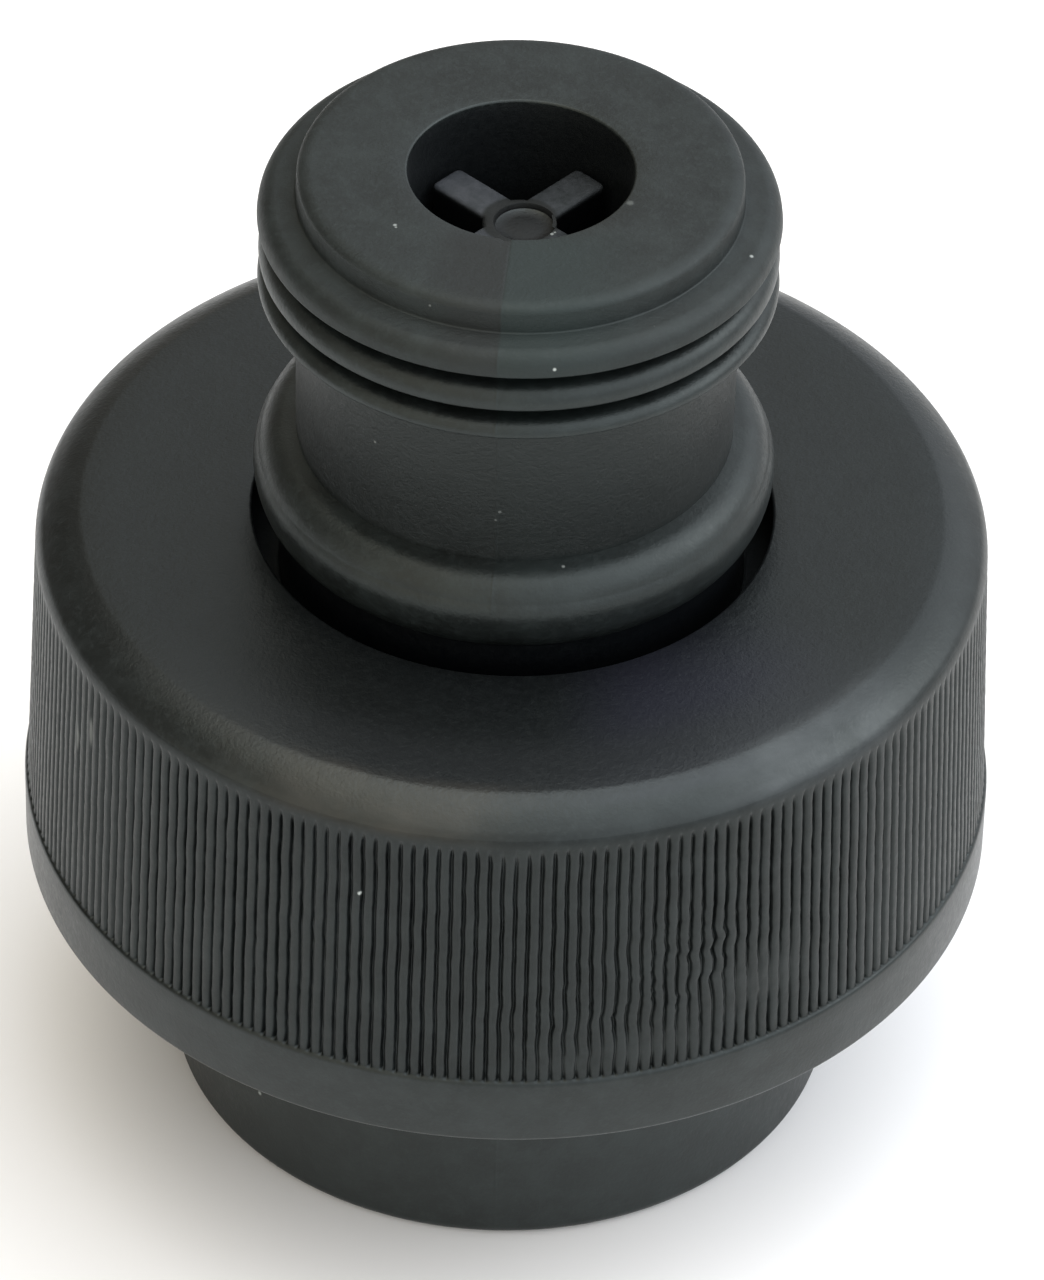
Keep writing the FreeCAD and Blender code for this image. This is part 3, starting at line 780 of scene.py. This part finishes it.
def nipple_local(n, col, r):
    x, y, z, flat = position(n)
    # either side of the mould seam on the front: browner left, greener right
    front = mask(n, y, -0.0050, -0.0075)
    top = mask(n, z, 0.0480, 0.0500)
    # the seam runs along a radius, so the tone changes where x is the same share of y
    across = n.math("ADD", x, n.math("MULTIPLY", y, math.tan(SEAM)))
    right = n.math("MULTIPLY", mask(n, across, -0.00012, 0.00012), mask(n, x, 0.0085, 0.0020))
    left = n.math("MULTIPLY", mask(n, across, 0.00012, -0.00012), mask(n, x, -0.0060, -0.0030))
    much = n.math("ADD", n.math("MULTIPLY", mask(n, z, 0.0640, 0.0670), 0.55), 0.18)
    col = n.mix(n.math("MULTIPLY", n.math("MULTIPLY", right, front), n.math("MULTIPLY", top, much)), col, (0.0060, 0.0125, 0.0120))
    col = n.mix(n.math("MULTIPLY", n.math("MULTIPLY", left, front), n.math("MULTIPLY", top, much)), col, (0.0030, 0.0026, 0.0028))
    # painted shade: the mouth and the stem under the bead are coloured near-black, where little light reaches them
    bore = n.math("MULTIPLY", mask(n, flat, 0.00705, 0.00690), mask(n, z, 0.06838, 0.06815))
    stem = mask(n, z, 0.0442, 0.0434)
    painted_shade_deep = n.math("MAXIMUM", bore, stem)
    col = n.mix(painted_shade_deep, col, (0.0010, 0.0014, 0.0022))
    r = n.math("ADD", r, n.math("MULTIPLY", bore, 0.12))
    r = n.math("SUBTRACT", r, n.math("MULTIPLY", stem, 0.04))
    # the moat round the stem is matt
    moat = n.math("MULTIPLY", mask(n, z, 0.0410, 0.0405), mask(n, flat, 0.01442, 0.01455))
    r = n.math("ADD", r, n.math("MULTIPLY", moat, 0.50), clamp=True)
    # handled edges of the head are duller
    edge = n.math("MULTIPLY", mask(n, z, 0.0650, 0.0653), mask(n, flat, 0.0120, 0.0130))
    r = n.math("ADD", r, n.math("MULTIPLY", edge, 0.15))
    # the neck sits in the shade of the head
    neck = n.math("MULTIPLY", mask(n, z, 0.0490, 0.0496), mask(n, z, 0.0600, 0.0590))
    col = n.mix(n.math("MULTIPLY", neck, 0.75), col, (0.0016, 0.0020, 0.0020))
    return col, r


def collar_local(n, col, r):
    x, y, z, flat = position(n)
    # painted shade: the wall of the hole under the plate is coloured near-black, where little light reaches
    hole = n.math("MULTIPLY", mask(n, flat, 0.01690, 0.01670), mask(n, z, 0.04240, 0.04222))
    col = n.mix(hole, col, (0.0008, 0.0011, 0.0018))
    r = n.math("SUBTRACT", r, n.math("MULTIPLY", hole, 0.22))
    col = n.mix(n.math("MULTIPLY", mask(n, z, 0.0418, 0.0423), 0.75), col, (0.0042, 0.0050, 0.0056))
    # painted reflection: bluish, lighter colour on the plate right of the front, where the plate reflects more light
    # from the right
    plate = n.math("MULTIPLY", mask(n, z, 0.0418, 0.0423), mask(n, y, -0.0080, -0.0180))
    painted_reflection_plate = n.math("MULTIPLY", plate, n.math("MULTIPLY", mask(n, x, 0.0020, 0.0090), mask(n, x, 0.0230, 0.0140)))
    col = n.mix(n.math("MULTIPLY", painted_reflection_plate, 0.8), col, (0.0110, 0.0110, 0.0185))
    # painted reflection: the plate is coloured lighter along its outer edge at the front, where its reflection passes
    # the head and catches the light above
    edge = n.math("MULTIPLY", n.math("MULTIPLY", mask(n, z, 0.0418, 0.0423), mask(n, y, -0.0100, -0.0225)), mask(n, flat, 0.0205, 0.0245))
    col = n.mix(n.math("MULTIPLY", edge, 0.75), col, (0.0125, 0.0138, 0.0150))
    # painted highlight on the front of the shoulder's edge: warm left of the front, cooler right of it, broken into
    # streaks
    bend = n.math("MULTIPLY", n.math("MULTIPLY", mask(n, z, 0.0400, 0.0408), mask(n, z, 0.04244, 0.04236)), mask(n, flat, 0.0255, 0.0262))
    streak = n.ramp(n.noise(150.0, 4.0, 0.65, 0.3, n.stretch(1.0, 1.0, 2.6)), [(0.34, 0.15), (0.66, 1.0)])
    warm = n.math("MULTIPLY", mask(n, x, 0.0036, -0.0030), mask(n, x, -0.0190, -0.0110))
    cool = n.math("MULTIPLY", mask(n, x, 0.0115, 0.0160), mask(n, x, 0.0265, 0.0200))
    painted_highlight_shoulder = n.math("MULTIPLY", bend, n.math("MULTIPLY", streak, mask(n, y, -0.0100, -0.0190)))
    col = n.mix(n.math("MULTIPLY", warm, painted_highlight_shoulder), col, (0.0265, 0.0240, 0.0205))
    col = n.mix(n.math("MULTIPLY", cool, painted_highlight_shoulder), col, (0.0400, 0.0440, 0.0470))
    col = n.mix(n.math("MULTIPLY", painted_highlight_shoulder, 0.08), col, (0.0250, 0.0260, 0.0260))
    # ribs a touch duller than the plate and the band
    ribs = n.math("MULTIPLY", mask(n, z, 0.0408, 0.0400), mask(n, z, 0.0219, 0.0221))
    r = n.math("ADD", r, n.math("MULTIPLY", ribs, 0.06), clamp=True)
    return col, r


def valve_local(n, col, r):
    x, y, z, flat = position(n)
    guide = mask(n, z, 0.0515, 0.0520)
    crown = mask(n, z, 0.06438, 0.06454)
    arms = n.math("MULTIPLY", crown, mask(n, flat, 0.0021, 0.0025))
    mottle = n.ramp(n.noise(1400.0, 4.0, 0.7), [(0.35, 0.0), (0.70, 1.0)])
    # arm tops: mottled tone with painted light, lighter left of the axis and darker right of it
    side = mask(n, x, -0.0006, 0.0012)
    arm_mottle_painted_light = n.mix(mottle, n.mix(side, (0.020, 0.022, 0.027), (0.006, 0.007, 0.009)), n.mix(side, (0.043, 0.045, 0.053), (0.026, 0.028, 0.033)))
    # painted shade: the fins below their tops are coloured near-black, where little light reaches down the bore
    col = n.mix(guide, col, (0.0012, 0.0013, 0.0018))
    col = n.mix(arms, col, arm_mottle_painted_light)
    hub = n.math("MULTIPLY", mask(n, z, 0.0640, 0.0641), mask(n, flat, 0.0025, 0.0021))
    col = n.mix(hub, col, n.mix(mottle, (0.0016, 0.0012, 0.0016), (0.0045, 0.0036, 0.0042)))
    flank = n.math("MULTIPLY", guide, mask(n, z, 0.06440, 0.06415))
    r = n.math("SUBTRACT", r, n.math("MULTIPLY", flank, 0.10))
    r = n.math("ADD", r, n.math("MULTIPLY", n.math("SUBTRACT", guide, flank), 0.25), clamp=True)
    return col, r


def rubber(name):
    n = Nodes(name)
    b = n.bsdf
    b.inputs["Specular IOR Level"].default_value = 0.4
    fine = n.noise(3000.0, 3.0, 0.6)
    cloud = n.noise(120.0, 3.0, 0.6)
    n.link(n.mix(cloud, (0.012, 0.012, 0.013), (0.026, 0.026, 0.027)), b.inputs["Base Color"])
    n.link(n.math("ADD", n.math("MULTIPLY", fine, 0.2), 0.5), b.inputs["Roughness"])
    n.link(n.bump(fine, 0.3, 0.02 * MM), b.inputs["Normal"])
    return n.mat


def steel(name):
    n = Nodes(name)
    b = n.bsdf
    b.inputs["Metallic"].default_value = 1.0
    draw = n.noise(900.0, 3.0, 0.6, 0.0, n.stretch(1.0, 1.0, 0.2))
    n.link(n.mix(draw, (0.55, 0.55, 0.54), (0.70, 0.70, 0.69)), b.inputs["Base Color"])
    n.link(n.math("ADD", n.math("MULTIPLY", draw, 0.2), 0.2), b.inputs["Roughness"])
    n.link(n.bump(draw, 0.2, 0.01 * MM), b.inputs["Normal"])
    return n.mat


BASE = (0.0046, 0.0060, 0.0060)
m_nipple = plastic("nipple_plastic", BASE, rough=0.42, grain=1.7, scuff=0.12, local=nipple_local, flat_from=0.0684, specks=(
    (-7.39, -5.77, 68.50, 0.16, 0.45), (-7.33, -5.98, 68.50, 0.11, 0.35), (13.84, -5.38, 66.55, 0.17, 0.5), (2.27, -15.64, 65.70, 0.17, 0.9),
    (-8.33, -10.57, 55.80, 0.12, 0.3), (3.14, -13.70, 49.10, 0.15, 0.35), (6.54, -3.05, 68.50, 0.30, 0.12),
    (-0.76, -13.41, 52.95, 0.14, 0.16), (-1.00, -13.39, 52.30, 0.12, 0.14), (-5.17, -12.47, 67.75, 0.13, 0.2)))
m_ribs = plastic("rib_plastic", (0.0042, 0.0052, 0.0054), rough=0.36, scuff=0.22, spec=0.35, seed=7.0, local=collar_local,
    specks=((-8.54, -28.37, 35.50, 0.20, 0.8),),
    streaks=((-26.20, -13.93, 34.60, 0.16, 0.5), (-25.30, -15.35, 36.35, 0.17, 0.55), (-25.33, -15.52, 33.85, 0.14, 0.5), (-26.37, -13.73, 33.30, 0.12, 0.45),
             (-26.9, -12.6, 37.6, 0.13, 0.4), (-25.8, -14.6, 38.3, 0.11, 0.35)))
m_collar = plastic("collar_plastic", (0.0042, 0.0052, 0.0054), rough=0.36, scuff=0.22, spec=0.44, seed=7.0, local=collar_local, flat_from=0.0420, coarse=(0.0418, 0.0430, 1.9),
    specks=((-8.54, -28.37, 35.50, 0.20, 0.8),),
    streaks=((-26.20, -13.93, 34.60, 0.16, 0.5), (-25.30, -15.35, 36.35, 0.17, 0.55), (-25.33, -15.52, 33.85, 0.14, 0.5), (-26.37, -13.73, 33.30, 0.12, 0.45),
             (-26.9, -12.6, 37.6, 0.13, 0.4), (-25.8, -14.6, 38.3, 0.11, 0.35)))
m_tube = plastic("tube_plastic", BASE, rough=0.46, scuff=0.15, seed=3.0, specks=((-15.05, -14.79, 5.87, 0.20, 0.45),))
m_valve = plastic("valve_plastic", (0.012, 0.0125, 0.014), rough=0.42, scuff=0.1, seed=5.0, local=valve_local,
    specks=((1.95, -1.22, 64.60, 0.16, 0.5), (2.12, -1.05, 64.60, 0.11, 0.4)))
m_rubber = rubber("seal_rubber")
m_steel = steel("spring_steel")


def dress(ob, mat):
    ob.data.materials.clear()
    ob.data.materials.append(mat)


dress(nipple, m_nipple)
dress(collar, m_collar)
# the ribbed wall is the same plastic with a duller, handled skin
collar.data.materials.append(m_ribs)
for face in collar.data.polygons:
    c = face.center
    if 0.02205 < c.z < 0.0408 and math.hypot(c.x, c.y) > 0.0284:
        face.material_index = 1
dress(tube, m_tube)
dress(plunger, m_valve)
dress(gasket, m_rubber)
dress(o_ring, m_rubber)
dress(seal, m_rubber)
dress(spring, m_steel)
cage.data.materials.clear()
cage.data.materials.append(m_valve)

# ---------------------------------------------------------------------- stage
floor_n = Nodes("floor_paint")
floor_n.bsdf.inputs["Specular IOR Level"].default_value = 0.2
floor_n.link(floor_n.mix(floor_n.noise(3.0, 2.0), (0.89, 0.89, 0.89), (0.91, 0.91, 0.91)), floor_n.bsdf.inputs["Base Color"])
floor_n.link(floor_n.math("ADD", floor_n.math("MULTIPLY", floor_n.noise(40.0), 0.1), 0.6), floor_n.bsdf.inputs["Roughness"])
bm = bmesh.new()
bmesh.ops.create_grid(bm, x_segments=8, y_segments=8, size=0.80)
me = bpy.data.meshes.new("floor")
bm.to_mesh(me)
bm.free()
floor = bpy.data.objects.new("floor", me)
floor.location = (0, 0, -0.0002)
scene.collection.objects.link(floor)
floor.data.materials.append(floor_n.mat)

world = bpy.data.worlds.new("studio")
scene.world = world
world.use_nodes = True
wt = world.node_tree
bg = wt.nodes["Background"]


def wmath(op, x, y=None, clamp=False):
    nd = wt.nodes.new("ShaderNodeMath")
    nd.operation = op
    nd.use_clamp = clamp
    for i, q in enumerate((x, y)):
        if q is None:
            continue
        if isinstance(q, (int, float)):
            nd.inputs[i].default_value = q
        else:
            wt.links.new(q, nd.inputs[i])
    return nd.outputs[0]


def wstep(x, lo, hi, out):
    nd = wt.nodes.new("ShaderNodeMapRange")
    nd.interpolation_type = "SMOOTHSTEP"
    nd.inputs["From Min"].default_value = lo
    nd.inputs["From Max"].default_value = hi
    nd.inputs["To Min"].default_value = 0.0
    nd.inputs["To Max"].default_value = out
    wt.links.new(x, nd.inputs["Value"])
    return nd.outputs[0]


# light tent: bright roof leaning to the back, fill from the front, brighter on the right,
# dimmer to the left and low down at the back
wdir = wt.nodes.new("ShaderNodeSeparateXYZ")
wt.links.new(wt.nodes.new("ShaderNodeTexCoord").outputs["Generated"], wdir.inputs[0])
wx, wy, wz = wdir.outputs
roof = wmath("MULTIPLY", wstep(wz, 0.78, 0.95, 2.30), wmath("SUBTRACT", 1.0, wstep(wy, 0.0, -0.30, 0.44)))
level = wmath("ADD", roof, 0.86)
level = wmath("ADD", level, wmath("MULTIPLY", wstep(wy, -0.05, -0.50, 0.42), wstep(wz, -0.10, 0.25, 1.0)))
level = wmath("ADD", level, wmath("MULTIPLY", wstep(wx, 0.12, 0.60, 0.95), wstep(wz, 0.10, 0.45, 1.0)))
level = wmath("SUBTRACT", level, wmath("MULTIPLY", wstep(wx, 0.20, -0.55, 0.64), wstep(wy, -0.55, 0.0, 1.0)))
level = wmath("SUBTRACT", level, wmath("MULTIPLY", wstep(wy, 0.05, 0.45, 0.20), wstep(wz, 0.35, 0.05, 1.0)))
level = wmath("SUBTRACT", level, wmath("MULTIPLY", wstep(wx, -0.25, -0.75, 0.30), wstep(wz, 0.35, 0.05, 1.0)))
level = wmath("SUBTRACT", level, wmath("MULTIPLY", wstep(wx, 0.35, 0.80, 0.22), wstep(wz, 0.30, 0.05, 1.0)))
wt.links.new(wmath("MAXIMUM", level, 0.15), bg.inputs[1])
tint = wt.nodes.new("ShaderNodeMix")
tint.data_type = "RGBA"
tint.inputs[6].default_value = (1.05, 0.965, 0.82, 1)
tint.inputs[7].default_value = (0.97, 1.0, 1.05, 1)
wt.links.new(wstep(wx, -0.30, 0.14, 1.0), tint.inputs[0])
wt.links.new(tint.outputs[2], bg.inputs[0])


def area(name, pos, target, size, power, color=(1, 1, 1)):
    light = bpy.data.lights.new(name, "AREA")
    light.shape = "RECTANGLE"
    light.size, light.size_y = size
    light.energy = power
    light.color = color
    ob = bpy.data.objects.new(name, light)
    ob.location = pos
    d = Vector(target) - Vector(pos)
    ob.rotation_euler = d.to_track_quat("-Z", "Y").to_euler()
    scene.collection.objects.link(ob)
    return ob


area("side_right", (0.75, 0.10, 0.55), (0, 0, 0.04), (0.45, 0.45), 1.8)

# --------------------------------------------------------------------- camera
cam_data = bpy.data.cameras.new("camera")
cam_data.sensor_fit = "VERTICAL"
cam_data.sensor_height = 24.0
cam_data.lens = 8500.0 / 1280.0 * 24.0
cam_data.clip_start = 0.01
cam_data.clip_end = 10.0
cam = bpy.data.objects.new("camera", cam_data)
pitch, yaw, roll = math.radians(40.5068), math.radians(0.1134), math.radians(1.5205)
fwd = Vector((math.sin(yaw) * math.cos(pitch), math.cos(yaw) * math.cos(pitch), -math.sin(pitch)))
right = Vector((math.cos(yaw), -math.sin(yaw), 0.0))
up = right.cross(fwd)
r2 = math.cos(roll) * right + math.sin(roll) * up
u2 = -math.sin(roll) * right + math.cos(roll) * up
cam.matrix_world = Matrix((
    (r2.x, u2.x, -fwd.x, 0.0),
    (r2.y, u2.y, -fwd.y, -0.40474),
    (r2.z, u2.z, -fwd.z, 0.37724),
    (0, 0, 0, 1)))
scene.collection.objects.link(cam)
scene.camera = cam
scene.view_settings.view_transform = "Standard"
scene.view_settings.look = "None"

bpy.context.view_layer.update()
